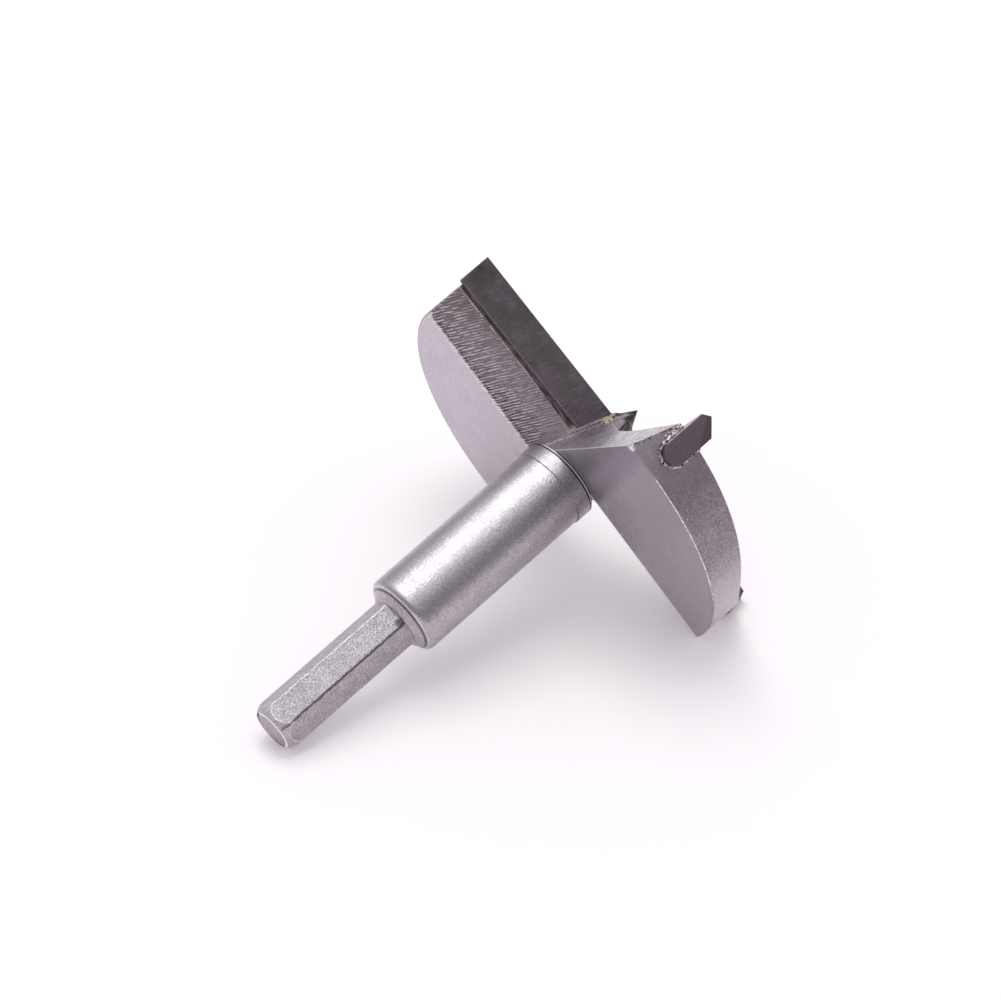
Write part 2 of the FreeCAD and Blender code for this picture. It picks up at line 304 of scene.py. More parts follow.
# Finishes of steel, carbide and braze: places, widths and heights in millimetres, grit per millimetre
def turnedSteel():
    # the round shank and its collar: fine turning rings under cloudy plating
    look = {
        "tone": shade(193, 188, 195), "dull": shade(133, 126, 133), "line": shade(58, 52, 58),
        "lit": shade(240, 236, 242), "roughness": 0.28, "rounding": 0.12, "grit": 3.4, "ringPitch": 0.17,
        "collar": (-3.9, -3.6), "edgeLine": (-0.47, -0.13), "shadow": (-0.12, -0.06), "lineEdge": 0.05,
        "lines": (  # the places along the shank, the strength and the colour of each line: painted shade on the step by the hexagon with a painted highlight beside it, a painted shadow in the groove by the head and painted shade at the collar's step
            (-40.98, -40.72, 0.75, "line"), (-40.72, -40.5, 0.4, "lit"), (-0.8, -0.5, 1.0, "line"),
            (-3.76, -3.6, 0.25, "line")),
        "cloudHeight": 0.05, "gritHeight": 0.016, "ringHeight": 0.008,
    }
    f = Finish("turnedSteel")
    z = f.xyz()[2]
    rings = f.streaks(z / look["ringPitch"], f.turned() * 3.0)
    cloud = f.cloudy(0.8, 3.0, 0.6)
    patch = f.cloudy(0.28, 3.0, 0.6).smooth(0.36, 0.66)
    grit = f.grit(look["grit"])
    collar = z.smooth(*look["collar"])
    dulled = grit * 0.5 + patch * 0.08 + (rings - 0.5) * 0.7 + collar * 0.12
    tone = f.blend(dulled, look["tone"], look["dull"])
    # painted shade, shadow and highlight lines at the steps and in the groove
    for low, high, share, colour in look["lines"]:
        tone = f.blend(z.band(low, high, look["lineEdge"]) * share, tone, look[colour])
    # a painted highlight: a white, unmetallic ring on the burr just below the head's back
    edgeLine = z.band(*look["edgeLine"], look["lineEdge"])
    tone = f.blend(z.smooth(*look["shadow"]) * 0.8, tone, look["line"])
    tone = f.blend(edgeLine, tone, white)
    height = cloud * look["cloudHeight"] + grit * look["gritHeight"] + rings * look["ringHeight"]
    roughness = look["roughness"] + (patch - 0.5) * 0.06 + grit * 0.06 + collar * 0.03
    normal = f.bump(height, f.edgeNormal(look["rounding"]))
    return f.surface(tone, roughness, normal, metallic=1 - edgeLine)


def hexSteel():
    # the hexagon: drawn bar, blasted and plated, which sparkles
    look = {
        "tone": shade(216, 210, 216), "dull": shade(136, 129, 136), "lit": shade(250, 247, 251),
        "line": shade(74, 67, 74), "roughness": 0.68, "rounding": 0.12,
        "sparkle": (4.2, 0.12), "grit": 2.4,
        "litEdge": 30.0, "darkEdge": 90.0,  # long edges of the hexagon, in degrees
        "litLine": (0.2, 0.36), "thinLine": (0.5, 0.66), "darkLine": (-0.2, 0.22), "edgeReach": 4.2,
        "rootFillet": 0.4, "shadedSide": (0.5, 3.5), "rootShade": (0.6, 4.9, -42.8), "rootShadeReach": 1.3,
        "domeLine": (5.08, 5.23), "endFace": -72.1, "endRim": (3.45, 3.6),
        "sparkleHeight": 0.014, "gritHeight": 0.01,
    }
    f = Finish("hexSteel")
    x, y, z = f.xyz()
    sparkle = f.grit(*look["sparkle"])
    grit = f.grit(look["grit"])
    cloud = f.cloudy(0.4, 3.0)
    drawn = f.streaks(f.turned() * 14, z * 0.4)
    wobble = (f.cloudy(1.3) - 0.5) * 0.5

    def edgeBand(angle, low, high):
        # a line along one long edge of the hexagon
        out, beside = leaned(x, y, angle)
        return (beside + wobble).band(low, high, 0.07) * (out > look["edgeReach"])

    dulled = sparkle * 0.42 + grit * 0.1 + (cloud + drawn - 1) * 0.5 + 0.08
    tone = f.blend(dulled, look["tone"], look["dull"])
    bar = z < headForm["hexTop"] - look["rootFillet"]
    tone = f.blend(bar * (-x).smooth(*look["shadedSide"]) * 0.2, tone, look["dull"])
    # painted highlight along one long edge of the hexagon with a thin dark line beside it, and a painted
    # dark reflection along another long edge
    tone = f.blend(edgeBand(look["litEdge"], *look["litLine"]) * (0.1 + grit * 0.8), tone, look["lit"])
    tone = f.blend(edgeBand(look["litEdge"], *look["thinLine"]) * grit * 0.25, tone, look["line"])
    tone = f.blend(edgeBand(look["darkEdge"], *look["darkLine"]) * 0.7, tone, look["line"])
    # painted shade at the root of the hexagon's flats, by the head
    tone = f.blend(f.near(look["rootShade"], look["rootShadeReach"]) * 0.8, tone, look["line"])
    # painted highlight where the flats meet the rounded end
    fromDome = f.add("ShaderNodeVectorMath", {"operation": "DISTANCE"}, {
        0: f.toolPoint(), 1: headForm["hexDome"]}).out("Value")
    domeLine = fromDome.band(*look["domeLine"], 0.04) * (z < headForm["hexDome"][2])
    tone = f.blend(domeLine * grit * 0.6, tone, look["lit"])
    endFace = z < look["endFace"]
    tone = f.blend(endFace * 0.1, tone, look["line"])
    # painted highlight round one half of the end face's rim and painted shade round the other half
    endRim = endFace * f.radius().smooth(*look["endRim"])
    tone = f.blend(endRim * 0.8, tone, f.blend(y > 0, look["line"], look["lit"]))
    height = sparkle * look["sparkleHeight"] + grit * look["gritHeight"]
    roughness = look["roughness"] + (sparkle - 0.5) * 0.2
    return f.surface(tone, roughness, f.bump(height, f.edgeNormal(look["rounding"])))


def facedSteel():
    # the back of the head, faced on a lathe: very fine rings about the axis, with painted shade and
    # scratches on wing B
    look = {
        "tone": shade(198, 192, 200), "dull": shade(172, 165, 173), "lit": shade(244, 240, 245),
        "shaded": shade(120, 112, 120), "pitsAndShade": shade(88, 80, 88), "roughness": 0.36, "rounding": 0.1,
        "grit": 3.2, "ringPitch": 0.3, "scratchScale": 1.3, "byShank": (9, 24), "wingB": (-4, 10),
        "darkRing": 8.3, "faceBurr": (-0.4, 0.2), "ringHeight": 0.004, "gritHeight": 0.0025,
    }
    f = Finish("facedSteel")
    x = f.xyz()[0]
    rings = f.streaks(f.radius() / look["ringPitch"], f.turned() * 2.0)
    cloud = f.cloudy(0.2, 4.0)
    grit = f.grit(look["grit"])
    mottle = f.cloudy(1.0, 4.0, 0.7)
    dulled = (rings - 0.45) * 1.1 + (cloud - 0.4) * 0.6 + (mottle - 0.5) * 1.3 + grit * 0.5
    tone = f.blend(dulled, look["tone"], look["dull"])
    byShank = 1 - f.radius().smooth(*look["byShank"])
    wingB = (-x).smooth(*look["wingB"])
    # painted shade over wing B, deepest by the shank, with dark mottling in it
    tone = f.blend(wingB * (0.3 + byShank * 0.42), tone, look["shaded"])
    tone = f.blend(wingB * mottle.smooth(0.5, 0.68) * (0.08 + byShank * 0.3), tone, look["pitsAndShade"])
    scratches = f.streaks(f.radius() * look["scratchScale"], f.turned() * 1.6, 4.0, 0.75).smooth(0.56, 0.66)
    tone = f.blend(scratches * (0.04 + wingB * byShank * 0.6), tone, look["lit"])
    tone = f.tornOver(tone)
    # painted shadow in the corner beside the collar
    tone = f.blend((f.radius() < look["darkRing"]) * 0.6, tone, look["pitsAndShade"])
    edgeLine = f.behindFace().band(*look["faceBurr"], 0.06)
    tone = f.blend(edgeLine, tone, look["lit"])
    height = rings * look["ringHeight"] + grit * look["gritHeight"]
    roughness = look["roughness"] + (cloud - 0.5) * 0.1 + grit * 0.05
    normal = f.bump(height, f.edgeNormal(look["rounding"]))
    return f.surface(tone, roughness, normal, metallic=1 - edgeLine * 0.75)


def rimSteel():
    # the turned rim, with painted shade in the middle, a painted reflection at the leading end and ragged
    # beside the back wall
    look = {
        "tone": shade(176, 167, 175), "dull": shade(126, 117, 125), "litReflection": shade(206, 199, 206),
        "edgeLine": shade(70, 62, 69), "torn": shade(222, 216, 222), "roughness": 0.47, "rounding": 0.12,
        "grit": 2.8, "darkMiddle": (-24, -4), "reflectionEnd": (22, 33), "ragged": 2.2,
        "burrEdge": (0.1, 0.35), "tornEdge": (-0.2, -0.08), "ringHeight": 0.012, "gritHeight": 0.008,
    }
    f = Finish("rimSteel")
    x, y, z = f.xyz()
    along = x * y.math("SIGN")
    rings = f.streaks(z * 3.2, f.turned() * 16, 4.0, 0.65)
    grit = f.grit(look["grit"])
    cloud = f.cloudy(0.45, 4.0, 0.6)
    # painted shade in the middle of the rim, and a painted reflection lighter towards the leading end
    middle = along.band(*look["darkMiddle"], 5.0)
    dulled = grit * 0.45 + (rings - 0.5) * 0.7 + (cloud - 0.5) * 0.6 + middle * 0.42
    tone = f.blend(dulled, look["tone"], look["dull"])
    tone = f.blend((-along).smooth(*look["reflectionEnd"]) * 0.6, tone, look["litReflection"])
    fromWall = headForm["wallOffset"] - z * math.tan(math.radians(headForm["wallLean"])) - along
    ragged = fromWall + (f.cloudy(1.1, 3.0, 0.65) - 0.5) * look["ragged"]
    tone = f.blend((1 - ragged.smooth(*look["burrEdge"])) * 0.8, tone, look["edgeLine"])
    tone = f.blend(1 - ragged.smooth(*look["tornEdge"]), tone, look["torn"])
    tone = f.tornOver(tone)
    height = rings * look["ringHeight"] + grit * look["gritHeight"]
    roughness = look["roughness"] + (grit - 0.5) * 0.15
    return f.surface(tone, roughness, f.bump(height, f.edgeNormal(look["rounding"])))


def edgeSteel():
    # the chamfer behind the rim, painted with a thin highlight line that fades by the wall and at the far
    # end
    look = {
        "tone": shade(250, 247, 250), "dull": shade(150, 140, 150), "roughness": 0.55, "rounding": 0.1,
        "byWall": (-3.0, 0.5), "farEnd": (25, 31), "brightLine": (38.4, 38.55),
    }
    f = Finish("edgeSteel")
    x, y = f.xyz()[:2]
    along = x * y.math("SIGN")
    broken = f.cloudy(1.6, 3.0, 0.6).smooth(0.4, 0.62)
    fade = along.smooth(*look["byWall"]) + (-along).smooth(*look["farEnd"]) * 0.6
    besideLine = 1 - f.radius().band(*look["brightLine"], 0.03)
    # painted highlight along the chamfer
    dulled = (fade + broken * 0.5 + besideLine * 0.9).math("MINIMUM", 1.0)
    tone = f.tornOver(f.blend(dulled, look["tone"], look["dull"]))
    return f.surface(tone, look["roughness"], f.edgeNormal(look["rounding"]), metallic=0.35)


def milledSteel():
    # the leading faces, with the combed marks of the cutter that milled them
    look = {
        "tone": shade(186, 177, 185), "dull": shade(146, 137, 145), "dark": shade(54, 47, 53),
        "lit": shade(236, 229, 235), "burnt": shade(134, 118, 108), "splash": shade(206, 202, 200),
        "pore": shade(36, 28, 26), "roughness": 0.42, "rounding": 0.1, "grit": 3.2, "coarseGrit": 1.8,
        "pitch": 0.54, "sway": 1.2, "lean": 22.6,  # spacing, waviness and slant of the milled lines
        "backZone": (0.8, 4.8), "inner": (5.5, 9.0), "heatSide": (24, 37), "heatHeight": (1.5, 4.5),
        "seamHeat": (0.4, 2.4), "seamLine": (0.3, 0.52), "seamShadow": (0.12, 0.26),
        "holes": (0.4, 0.75), "edgeLine": (0.22, 0.36), "nick": (37.75, -6.15, 0.1), "nickReach": 0.85,
        "pores": ((2.0, -0.17, 14.83), (2.15, -0.8, 13.2)), "poreReach": 0.36,
        "darkHeight": 0.05, "litHeight": 0.02, "hairHeight": 0.012, "gritHeight": 0.004,
    }
    f = Finish("milledSteel")
    x, _, z = f.xyz()
    side = abs(x)
    across, along = leaned(side, z / hookCos, look["lean"])
    sway = f.streaks(across * 0.9, along * 0.28, 2.0, 0.55)
    wave = ((across / look["pitch"] + sway * look["sway"]) * math.tau).math("SINE")
    brokenDark = f.streaks(across * 1.8, along * 0.45, 2.0, 0.6).smooth(0.42, 0.54)
    brokenLit = f.streaks(across * 1.8 + 7, along * 0.5, 2.0, 0.6).smooth(0.42, 0.54)
    hair = f.streaks(across * 4.5, along * 0.6, 2.0, 0.5)
    grit = f.grit(look["grit"])
    byBack = 1 - z.smooth(*look["backZone"])
    inner = 1 - side.smooth(*look["inner"])
    darkLines = (-wave).smooth(0.0, 0.7) * brokenDark * (0.35 + byBack * 0.65)
    darkLines = darkLines * (1.15 - side.smooth(12, 36) * 0.45) * (1 - inner * 0.7)
    litLines = wave.smooth(0.3, 0.85) * brokenLit * (1 - z.smooth(3.0, 6.5) * 0.5) * (1 - inner * 0.8)
    dulled = grit * 0.4 + (hair - 0.5) * 1.8 + 0.35 + byBack * 0.25
    tone = f.blend(dulled, look["tone"], look["dull"])
    under = -f.aboveSeam()
    heat = side.smooth(*look["heatSide"]) * z.smooth(*look["heatHeight"]) * 0.45
    tone = f.blend(heat + (1 - under.smooth(*look["seamHeat"])) * 0.25, tone, look["burnt"])
    tone = f.blend(darkLines * 0.78, tone, look["dark"])
    tone = f.blend(litLines * 0.7, tone, look["lit"])
    splashed = inner * z.smooth(5.5, 8.0) * f.grit(look["coarseGrit"])
    tone = f.blend(splashed * 0.8, tone, look["splash"])
    seamLine = f.blend(f.streaks(side * 0.7, z * 0.2).smooth(0.35, 0.6), look["burnt"], look["lit"])
    tone = f.blend(under.band(*look["seamLine"], 0.06) * 0.6, tone, seamLine)
    tone = f.blend((1 - under.smooth(*look["seamShadow"])) * 0.75, tone, look["dark"])
    tone = f.goldOver(tone)
    for pore in look["pores"]:
        tone = f.blend(f.near(pore, look["poreReach"], 0.5), tone, look["pore"])
    holes = z.band(*look["holes"], 0.1) * f.streaks(across * 1.9, z * 0.8, 2.0, 0.6).smooth(0.5, 0.6)
    tone = f.blend(holes * 0.6, tone, look["pore"])
    edgeLine = 1 - (z + (hair - 0.5) * 0.4).smooth(*look["edgeLine"])
    tone = f.blend(edgeLine * (0.5 + brokenLit * 0.5), tone, look["lit"])
    tone = f.blend(f.near(look["nick"], look["nickReach"], 0.6), tone, look["lit"])
    height = look["darkHeight"] - darkLines * look["darkHeight"] + litLines * look["litHeight"]
    height = height + hair * look["hairHeight"] + grit * look["gritHeight"]
    roughness = look["roughness"] + (hair - 0.5) * 0.2
    pale = (litLines * 0.5 + edgeLine * 0.6).math("MINIMUM", 0.8)
    normal = f.bump(height, f.edgeNormal(look["rounding"]))
    return f.surface(tone, roughness, normal, metallic=1 - pale)


def wallSteel():
    # the back walls: dark and streaked beside the shank, torn further out and brighter there as a painted
    # reflection
    look = {
        "tone": shade(226, 217, 226), "dark": shade(116, 107, 116), "bright": shade(228, 222, 228),
        "torn": shade(164, 156, 164), "edge": shade(226, 221, 226), "roughness": 0.45, "rounding": 0.12,
        "grit": 3.0, "slant": 0.21, "brightFrom": (23.9, 24.9), "ragged": 14, "edgeGlint": (0.2, 0.45),
        "markHeight": 0.05, "hairHeight": 0.02, "gritHeight": 0.006, "ripDepth": 0.12,
    }
    f = Finish("wallSteel")
    x, y, z = f.xyz()
    out = y * x.math("SIGN")
    across = out + z * look["slant"]
    marks = f.streaks(across * 1.6, z * 0.2)
    hair = f.streaks(across * 4.2, z * 0.5)
    rips = f.streaks(across * 1.7 + 5, z * 0.45, 3.0, 0.65)
    grit = f.grit(look["grit"])
    darkened = marks.smooth(0.36, 0.62) * 0.6 + (hair - 0.5) * 2.2 + grit * 0.25
    tone = f.blend(darkened, look["tone"], look["dark"])
    flakes = f.cloudy(1.7, 4.0, 0.7, 0.6)
    tornShare = (rips + flakes - 0.5).smooth(0.36, 0.7) * 0.7 + grit * 0.3 + (hair - 0.5) * 1.6
    torn = f.blend(tornShare, look["bright"], look["torn"])
    torn = f.blend((1.5 - rips - flakes).smooth(0.48, 0.66) * 0.6, torn, white)
    # the brighter torn zone further out is partly a painted reflection of the floor
    bright = (out + z + (rips - 0.5) * look["ragged"]).smooth(*look["brightFrom"])
    tone = f.blend(bright, tone, torn)
    # painted highlight along the edge with the back of the head, white and less metallic
    edge = 1 - (z + (grit - 0.5) * 0.3 + (rips - 0.5) * 1.5).smooth(*look["edgeGlint"])
    tone = f.blend(edge * 0.8, tone, look["edge"])
    height = marks * look["markHeight"] + hair * look["hairHeight"] + grit * look["gritHeight"]
    height = height - bright * rips * look["ripDepth"]
    roughness = look["roughness"] + (marks - 0.5) * 0.2
    normal = f.bump(height, f.edgeNormal(look["rounding"]))
    return f.surface(tone, roughness, normal, metallic=1 - edge * 0.7)


def reliefSteel():
    # the front of the head, with the wide passes of the cutter that milled it
    look = {
        "tone": shade(194, 186, 194), "dark": shade(136, 127, 136), "roughness": 0.42, "rounding": 0.12,
        "grit": 3.0, "pitch": 1.1, "sway": 1.1, "markHeight": 0.03, "hairHeight": 0.01, "gritHeight": 0.004,
    }
    f = Finish("reliefSteel")
    x, y = f.xyz()[:2]
    sway = f.streaks(x * 0.4, y * 0.15, 2.0, 0.5)
    passes = ((x / look["pitch"] + sway * look["sway"]) * math.tau).math("SINE") * 0.5 + 0.5
    marks = passes * 0.5 + f.streaks(x * 1.6, y * 0.2) * 0.5
    hair = f.streaks(x * 5.0, y * 0.5)
    grit = f.grit(look["grit"])
    darkened = marks.smooth(0.38, 0.62) * 0.5 + (hair - 0.5) + grit * 0.25
    tone = f.blend(darkened, look["tone"], look["dark"])
    height = marks * look["markHeight"] + hair * look["hairHeight"] + grit * look["gritHeight"]
    roughness = look["roughness"] + (grit - 0.5) * 0.1
    return f.surface(tone, roughness, f.bump(height, f.edgeNormal(look["rounding"])))


def cornerSteel():
    # the narrow inner corners that the milling left rough, with a little flux in them
    look = {
        "tone": shade(204, 196, 202), "dark": shade(118, 109, 116), "roughness": 0.7, "rounding": 0.3,
        "grit": 2.4, "gritHeight": 0.03, "cloudHeight": 0.1,
    }
    f = Finish("cornerSteel")
    grit = f.grit(look["grit"])
    cloud = f.cloudy(0.9, 3.0)
    tone = f.goldOver(f.blend(grit * 0.6 + (cloud - 0.5) + 0.2, look["tone"], look["dark"]))
    height = grit * look["gritHeight"] + cloud * look["cloudHeight"]
    return f.surface(tone, look["roughness"], f.bump(height, f.edgeNormal(look["rounding"])))


def pointSteel():
    # the turned centre point: painted light at its foot on one side of each wing, painted shade beyond and
    # at the tip
    look = {
        "tone": shade(206, 198, 203), "dark": shade(70, 62, 66), "deep": shade(96, 88, 92),
        "lit": shade(236, 230, 234), "roughness": 0.4, "rounding": 0.06, "grit": 3.0,
        "foot": (0.43, 0.47), "streak": (0.5, 0.51),  # shares of half a turn about the axis
        "tip": (14.6, 15.8), "streakTop": (14.5, 15.5), "ringHeight": 0.03,
    }
    f = Finish("pointSteel")
    z = f.xyz()[2]
    rings = f.streaks(z * 2.6, f.turned() * 0.8, 2.0, 0.6)
    grit = f.grit(look["grit"])
    halfTurns = (f.turned() / math.pi).math("FRACT")
    foot = (1 - (halfTurns + (grit - 0.5) * 0.02).smooth(*look["foot"])) * (1 - z.smooth(*look["tip"]))
    ringed = rings.smooth(0.38, 0.6) * 0.6
    tone = f.blend(ringed + grit * 0.15, look["tone"], look["dark"])
    shaded = f.blend(ringed + grit * 0.2, look["deep"], look["dark"])
    # painted light on one side of the foot, painted shade on the rest
    tone = f.blend(foot, shaded, tone)
    # a painted highlight streak up one side of the point
    streak = halfTurns.band(*look["streak"], 0.006) * (1 - z.smooth(*look["streakTop"]))
    tone = f.blend(streak * 0.6, tone, look["lit"])
    roughness = look["roughness"] + (rings - 0.5) * 0.2
    normal = f.bump(rings * look["ringHeight"], f.edgeNormal(look["rounding"]))
    return f.surface(tone, roughness, normal, metallic=1 - foot * 0.5)


def groundCarbide():
    # the cutters: dark plates with faint grinding streaks and a film of flux
    look = {
        "tone": shade(124, 117, 122), "dark": shade(78, 72, 76), "flux": shade(104, 104, 90),
        "wearAndSheen": shade(156, 148, 156), "edge": shade(40, 34, 38), "roughness": 0.42, "rounding": 0.06,
        "wornWidth": 0.08, "lean": 14.0, "fluxInside": (26, 36), "seamShadow": (0.12, 0.3),
        "seamLine": (0.36, 0.52), "markHeight": 0.012, "hairHeight": 0.004, "metallic": 0.85,
    }
    f = Finish("groundCarbide")
    x, _, z = f.xyz()
    side = abs(x)
    across, along = leaned(side, z, look["lean"])
    marks = f.streaks(across * 2.6, along * 0.35)
    hair = f.streaks(across * 7.0, along * 0.7)
    cloud = f.cloudy(0.3, 4.0, 0.6)
    smudge = f.cloudy(0.12, 3.0, 0.55)
    darkened = marks.smooth(0.34, 0.66) * 0.35 + (hair - 0.5) * 0.7 + (cloud + smudge - 1) * 1.3 + 0.22
    tone = f.blend(darkened, look["tone"], look["dark"])
    fluxed = cloud.smooth(0.5, 0.64) * 0.7 * (1 - side.smooth(*look["fluxInside"]))
    tone = f.blend(fluxed, tone, look["flux"])
    above = f.aboveSeam()
    tone = f.blend((1 - above.smooth(*look["seamShadow"])) * 0.7, tone, look["edge"])
    tone = f.blend(above.band(*look["seamLine"], 0.06) * marks, tone, look["wearAndSheen"])
    tone = f.blend(f.edgeShare(look["wornWidth"]) * 0.45, tone, look["wearAndSheen"])
    height = marks * look["markHeight"] + hair * look["hairHeight"]
    normal = f.bump(height, f.edgeNormal(look["rounding"]))
    return f.surface(tone, look["roughness"] + (marks - 0.5) * 0.16, normal, look["metallic"])


def spurCarbide():
    # the spurs: flat grey sides, a darker ground facet and a painted highlight along the back edge
    look = {
        "tone": shade(124, 112, 121), "dark": shade(98, 87, 96), "facet": shade(84, 74, 83),
        "wearAndSheen": shade(214, 206, 213), "roughness": 0.45, "rounding": 0.06, "wornWidth": 0.08, "grit": 2.6,
        "facetSlope": 0.75, "facetEdge": (9.5, 10.1), "backEdge": 1.8,
        "hairHeight": 0.006, "gritHeight": 0.003, "metallic": 0.85,
    }
    f = Finish("spurCarbide")
    x, y, z = f.xyz()
    out = x * y.math("SIGN")
    grit = f.grit(look["grit"])
    hair = f.streaks(z * 6.0, out * 0.9)
    tone = f.blend(grit * 0.35 + (hair - 0.5) * 0.8 + 0.1, look["tone"], look["dark"])
    facet = (z * look["facetSlope"] - out).smooth(*look["facetEdge"])
    tone = f.blend(facet * 0.5, tone, look["facet"])
    # painted highlight along the back edge
    tone = f.blend((out > look["backEdge"]) * 0.8, tone, look["wearAndSheen"])
    tone = f.blend(f.edgeShare(look["wornWidth"]) * 0.3, tone, look["wearAndSheen"])
    height = hair * look["hairHeight"] + grit * look["gritHeight"]
    normal = f.bump(height, f.edgeNormal(look["rounding"]))
    return f.surface(tone, look["roughness"] + (grit - 0.5) * 0.1, normal, look["metallic"])


def cutterBraze():
    # bright gold beside the point, grey below it, and a dark seam along the cutter
    look = {
        "pale": shade(206, 200, 194), "gold": shade(232, 221, 192), "burnt": shade(52, 42, 36),
        "seam": shade(74, 66, 69), "seamLit": shade(138, 129, 130), "roughness": 0.45, "grit": 2.6,
        "goldFrom": (11.3, 12.4), "seamFrom": (4.6, 5.8),
        "poreHeight": 0.1, "cloudHeight": 0.08, "gritHeight": 0.01, "metallic": 0.9,
    }
    f = Finish("cutterBraze")
    x, _, z = f.xyz()
    side = abs(x)
    cloud = f.cloudy(1.2, 3.0)
    pores = f.cloudy(2.2)
    grit = f.grit(look["grit"])
    low = f.blend(grit * 0.5, look["pale"], look["seam"])
    high = f.blend(cloud.smooth(0.42, 0.6), look["pale"], look["gold"])
    tone = f.goldOver(f.blend(z.smooth(*look["goldFrom"]), low, high))
    tone = f.blend((1 - pores).smooth(0.58, 0.66), tone, look["burnt"])
    lines = f.streaks(side * 0.35, f.aboveSeam() * 3.0, 2.0, 0.6)
    seam = f.blend(lines.smooth(0.4, 0.66), look["seam"], look["seamLit"])
    tone = f.blend(side.smooth(*look["seamFrom"]), tone, seam)
    height = pores * look["poreHeight"] + cloud * look["cloudHeight"] + grit * look["gritHeight"]
    return f.surface(tone, look["roughness"] + (pores - 0.5) * 0.3, f.bump(height), look["metallic"])


def spurBraze():
    # lumpy silver-grey beads round the spurs, with black gaps
    look = {
        "pale": shade(216, 209, 212), "grey": shade(132, 123, 128), "burnt": shade(44, 37, 40),
        "roughness": 0.42, "grit": 2.2, "gritHeight": 0.02, "metallic": 0.9,
    }
    f = Finish("spurBraze")
    grit = f.grit(look["grit"])
    greyed = f.cloudy(1.3, 3.0, 0.6).smooth(0.4, 0.62) * 0.6 + grit * 0.3
    tone = f.blend(greyed, look["pale"], look["grey"])
    tone = f.blend(f.cloudy(1.7, 3.0).smooth(0.56, 0.64), tone, look["burnt"])
    normal = f.bump(grit * look["gritHeight"])
    return f.surface(tone, look["roughness"] + (grit - 0.5) * 0.2, normal, look["metallic"])


bodyFinishes = (turnedSteel, hexSteel, facedSteel, rimSteel, edgeSteel, milledSteel, wallSteel, reliefSteel,
                cornerSteel, pointSteel)
insetFinishes = (groundCarbide, spurCarbide, cutterBraze, spurBraze)
finishes = {make.__name__: make() for make in bodyFinishes + insetFinishes}
print("finishes:", ", ".join(finishes))


# How the directions and places of the body's faces tell its finishes apart
faceLimits = {
    "shankTop": -0.02,
    "backDepth": 0.05,
    "backFlat": -0.99,
    "rimDepth": 0.45,  # a face further inside isn't part of the rim
    "upright": 0.6,
    "chamfer": -0.5,
    "parallel": 0.998,
    "pointSlope": (0.4, 0.8),
    "front": 0.8,
}


def regionOf(centre, normal):
    # the steel finish of one face of the body, from its place and direction in the tool's coordinates
    radius = math.hypot(centre.x, centre.y)
    side = 1 if centre.x > 0 else -1
    if centre.z < headForm["hexTop"]:
        return "hexSteel"
    if centre.z < faceLimits["shankTop"]:
        return "turnedSteel"
    if normal.z < faceLimits["backFlat"] and centre.z < faceLimits["backDepth"]:
        return "facedSteel"
    rim = radius > headForm["rimRadius"] - faceLimits["rimDepth"]
    if rim and math.hypot(normal.x, normal.y) > faceLimits["upright"]:
        return "edgeSteel" if normal.z < faceLimits["chamfer"] else "rimSteel"
    if Vector((0, side * hookCos, -hookSin)).dot(normal) > faceLimits["parallel"]:
        return "milledSteel"
    if Vector((side * wallCos, 0, wallSin)).dot(normal) > faceLimits["parallel"]:
        return "wallSteel"
    point = radius < headForm["pointRadius"] and centre.z > headForm["pointFoot"]
    if point and faceLimits["pointSlope"][0] < normal.z < faceLimits["pointSlope"][1]:
        return "pointSteel"
    if normal.z > faceLimits["front"]:
        return "reliefSteel"
    return "cornerSteel"


def joined(node):
    # a copy of a CAD node's loose triangles, joined at their corners
    mesh = bmesh.new()
    mesh.from_mesh(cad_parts[node].data)
    bmesh.ops.remove_doubles(mesh, verts=mesh.verts, dist=2e-7)
    return mesh


def asPiece(data, name, node):
    piece = bpy.data.objects.new(name, data)
    bpy.context.scene.collection.objects.link(piece)
    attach(piece, "root")
    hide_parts(node)


def makeBody():
    # the steel body, with each face's own finish and the normals of the true surfaces
    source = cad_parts["bit_body"].data
    mesh = bmesh.new()
    mesh.from_mesh(source)
    kept = mesh.loops.layers.float_vector.new("trueNormal")
    mesh.faces.ensure_lookup_table()
    for face, polygon in zip(mesh.faces, source.polygons):
        for loop, index in zip(face.loops, polygon.loop_indices):
            loop[kept] = source.corner_normals[index].vector
    bmesh.ops.remove_doubles(mesh, verts=mesh.verts, dist=2e-7)
    names = [make.__name__ for make in bodyFinishes]
    for face in mesh.faces:
        centre = frameToTool @ face.calc_center_median()
        normal = (toolTurn.inverted() @ face.normal).normalized()
        face.material_index = names.index(regionOf(centre, normal))
    data = bpy.data.meshes.new("bitBody")
    mesh.to_mesh(data)
    mesh.free()
    for finishName in names:
        data.materials.append(finishes[finishName])
    data.shade_smooth()
    trueNormals = [Vector(corner.vector) for corner in data.attributes["trueNormal"].data]
    data.normals_split_custom_set(trueNormals)
    data.attributes.remove(data.attributes["trueNormal"])
    asPiece(data, "bitBody", "bit_body")


# The outer ends of the cutters are ground back behind the tip: degrees behind the face, and along it
endGrind = {"relief": 30.0, "sideAngle": -5.3}


